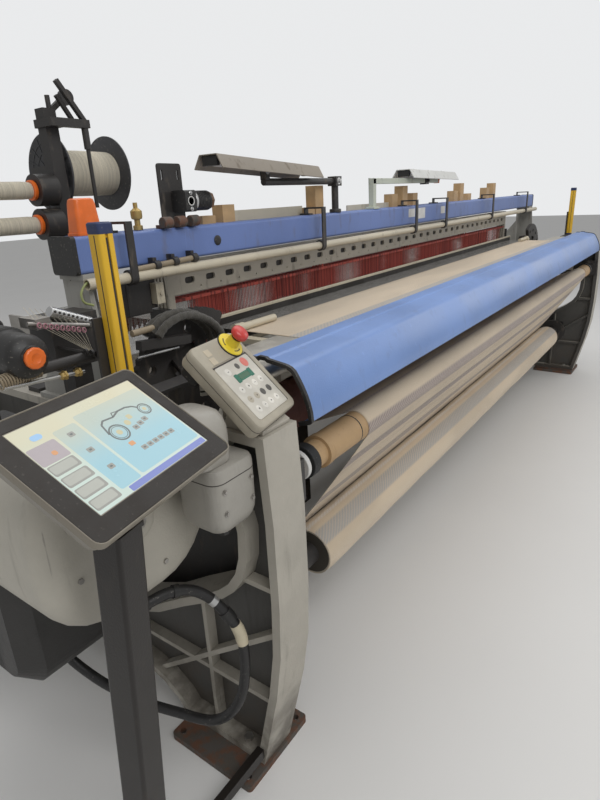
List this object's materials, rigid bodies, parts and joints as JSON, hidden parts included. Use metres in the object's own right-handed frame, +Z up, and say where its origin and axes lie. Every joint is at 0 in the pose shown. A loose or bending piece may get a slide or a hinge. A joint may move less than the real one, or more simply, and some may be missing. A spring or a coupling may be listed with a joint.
{
  "type": "power loom",
  "caption": "Wide rapier power loom with cast side frames, blue breast cover and top beam, heald frames, reed, warp beam, cloth roll, tilted touch terminal and key console.",
  "frame": {"origin": "centre of the machine's outline, on the floor", "axes": "+X along the machine from the control side to the far side, +Y from the weaver's side to the warp side, +Z up"},
  "size_m": [5.1106, 1.9209, 1.8438],
  "materials": {
    "frame_paint": "satin",
    "cover_blue": "gloss",
    "beam_blue": "gloss",
    "grey_steel": "satin",
    "black_steel": "satin",
    "floor_iron": "matte",
    "bare_steel": "satin",
    "shaft_chrome": "polished",
    "alloy": "satin",
    "rail_cream": "satin",
    "yellow_paint": "gloss",
    "pale_cover": "satin",
    "dark_casting": "satin",
    "case_grey": "matte",
    "foil": "matte",
    "black_plastic": "matte",
    "yellow_plastic": "gloss",
    "red_plastic": "gloss",
    "orange_plastic": "gloss",
    "screen": "gloss",
    "wood": "satin",
    "cloth": "matte",
    "warp": "matte",
    "yarn": "matte",
    "roller_cover": "matte",
    "rubber": "matte",
    "heald_red": "satin",
    "reed_steel": "satin",
    "lamp_dust": "matte",
    "tape_black": "matte"
  },
  "bodies": {
    "frame": {"left_side_frame": "frame_paint", "right_side_frame": "frame_paint", "tie_beams": "frame_paint", "floor_plates": "floor_iron", "foot_bolts": "bare_steel", "top_beam": "beam_blue", "end_caps": "black_plastic", "beam_brackets": "grey_steel", "guard_rail": "rail_cream", "rail_hooks": "black_steel", "heald_guides": "wood", "breast_beam": "alloy", "breast_cover": "cover_blue", "roller_brackets": "black_steel", "fabric": "cloth", "warp_sheet": "warp", "drop_wire_rack": "bare_steel", "gearbox": "dark_casting", "gear_cover": "pale_cover", "side_box": "grey_steel", "main_motor": "grey_steel", "dobby": "pale_cover", "console_case": "case_grey", "keypad": "foil", "estop_collar": "yellow_plastic", "terminal_post": "black_steel", "light_curtains": "yellow_paint", "rapier_guards": "black_steel", "weft_selector": "black_steel", "spool_stand": "black_steel", "yarn_tubes": "yarn", "weft_feeder": "black_plastic", "selvedge_motor": "black_plastic", "signal_lamp": "orange_plastic", "temples": "rail_cream", "hose": "rubber"},
    "estop": {"estop_button": "red_plastic"},
    "terminal": {"terminal_case": "case_grey", "terminal_screen": "screen"},
    "sley": {"rocker_shaft": "bare_steel", "sley_beam": "alloy", "reed": "reed_steel"},
    "heald_1": {"heald_frame_1": "alloy"},
    "heald_2": {"heald_frame_2": "alloy"},
    "heald_3": {"heald_frame_3": "alloy"},
    "heald_4": {"heald_frame_4": "alloy"},
    "warp_beam_set": {"warp_beam": "alloy", "warp_winding": "warp"},
    "back_rest": {"back_rest_roller": "shaft_chrome"},
    "take_up": {"take_up_roller": "roller_cover"},
    "guide": {"guide_tube": "roller_cover"},
    "cloth_roll_set": {"cloth_roll": "black_steel", "cloth_winding": "cloth"},
    "left_wheel": {"rapier_wheel_left": "tape_black"},
    "right_wheel": {"rapier_wheel_right": "tape_black"},
    "left_head": {"rapier_head_left": "tape_black"},
    "right_head": {"rapier_head_right": "tape_black"},
    "spool": {"big_spool": "black_plastic"},
    "left_lamp": {"lamp_left": "lamp_dust"},
    "right_lamp": {"lamp_right": "lamp_dust"}
  },
  "joints": [
    {"name": "estop_press", "type": "slide", "parent": "frame", "child": "estop", "axis": [-0.1349, 0.6941, -0.7071], "range_m": [0, 0.004]},
    {"name": "terminal_tilt", "type": "hinge", "parent": "frame", "child": "terminal", "pos_m": [-2.37942, -0.79113, 1.09371], "axis": [0.9816, 0.1908, 0], "range_deg": [-12, 12]},
    {"name": "sley_swing", "type": "hinge", "parent": "frame", "child": "sley", "pos_m": [-2.04473, -0.21951, 0.7], "axis": [-1, 0, 0], "range_deg": [-13, 0]},
    {"name": "heald_1_lift", "type": "slide", "parent": "frame", "child": "heald_1", "axis": [0, 0, 1], "range_m": [-0.04, 0.04]},
    {"name": "heald_2_lift", "type": "slide", "parent": "frame", "child": "heald_2", "axis": [0, 0, 1], "range_m": [-0.04, 0.04]},
    {"name": "heald_3_lift", "type": "slide", "parent": "frame", "child": "heald_3", "axis": [0, 0, 1], "range_m": [-0.04, 0.04]},
    {"name": "heald_4_lift", "type": "slide", "parent": "frame", "child": "heald_4", "axis": [0, 0, 1], "range_m": [-0.04, 0.04]},
    {"name": "warp_turn", "type": "hinge", "parent": "frame", "child": "warp_beam_set", "pos_m": [-2.04473, 0.56049, 0.56], "axis": [1, 0, 0], "continuous": true},
    {"name": "back_rest_turn", "type": "hinge", "parent": "frame", "child": "back_rest", "pos_m": [-2.04473, 0.64049, 1.0459], "axis": [1, 0, 0], "continuous": true},
    {"name": "take_up_turn", "type": "hinge", "parent": "frame", "child": "take_up", "pos_m": [-2.04473, -0.55951, 0.9], "axis": [1, 0, 0], "continuous": true},
    {"name": "guide_turn", "type": "hinge", "parent": "frame", "child": "guide", "pos_m": [-2.04473, -0.78451, 0.868], "axis": [1, 0, 0], "continuous": true},
    {"name": "cloth_roll_turn", "type": "hinge", "parent": "frame", "child": "cloth_roll_set", "pos_m": [-2.04473, -0.60551, 0.372], "axis": [1, 0, 0], "continuous": true},
    {"name": "left_wheel_turn", "type": "hinge", "parent": "frame", "child": "left_wheel", "pos_m": [-1.75973, -0.34351, 0.9748], "axis": [0, 1, 0], "range_deg": [0, 696]},
    {"name": "right_wheel_turn", "type": "hinge", "parent": "frame", "child": "right_wheel", "pos_m": [1.97027, -0.34351, 0.9748], "axis": [0, 1, 0], "range_deg": [-696, 0]},
    {"name": "left_head_run", "type": "slide", "parent": "frame", "child": "left_head", "axis": [1, 0, 0], "range_m": [0, 1.702]},
    {"name": "right_head_run", "type": "slide", "parent": "frame", "child": "right_head", "axis": [1, 0, 0], "range_m": [-1.702, 0]},
    {"name": "spool_turn", "type": "hinge", "parent": "frame", "child": "spool", "pos_m": [-2.04473, 0.15049, 1.605], "axis": [1, 0, 0], "continuous": true},
    {"name": "left_lamp_turn", "type": "hinge", "parent": "frame", "child": "left_lamp", "pos_m": [-0.80473, -0.26751, 1.436], "axis": [0, 0, 1], "range_deg": [-20, 20]},
    {"name": "right_lamp_turn", "type": "hinge", "parent": "frame", "child": "right_lamp", "pos_m": [-0.48473, -0.26751, 1.436], "axis": [0, 0, 1], "range_deg": [-20, 20]}
  ],
  "couplings": [
    {"joint": "heald_2_lift", "follows": "heald_1_lift", "ratio": -1},
    {"joint": "heald_3_lift", "follows": "heald_1_lift", "ratio": 1},
    {"joint": "heald_4_lift", "follows": "heald_1_lift", "ratio": -1},
    {"joint": "back_rest_turn", "follows": "warp_turn", "ratio": 4.3077},
    {"joint": "take_up_turn", "follows": "warp_turn", "ratio": -3.7333},
    {"joint": "guide_turn", "follows": "warp_turn", "ratio": 6.3636},
    {"joint": "cloth_roll_turn", "follows": "warp_turn", "ratio": -3.2558},
    {"joint": "left_head_run", "follows": "left_wheel_turn", "m_per_rad": 0.14},
    {"joint": "right_wheel_turn", "follows": "left_wheel_turn", "ratio": -1},
    {"joint": "right_head_run", "follows": "left_wheel_turn", "m_per_rad": -0.14}
  ]
}
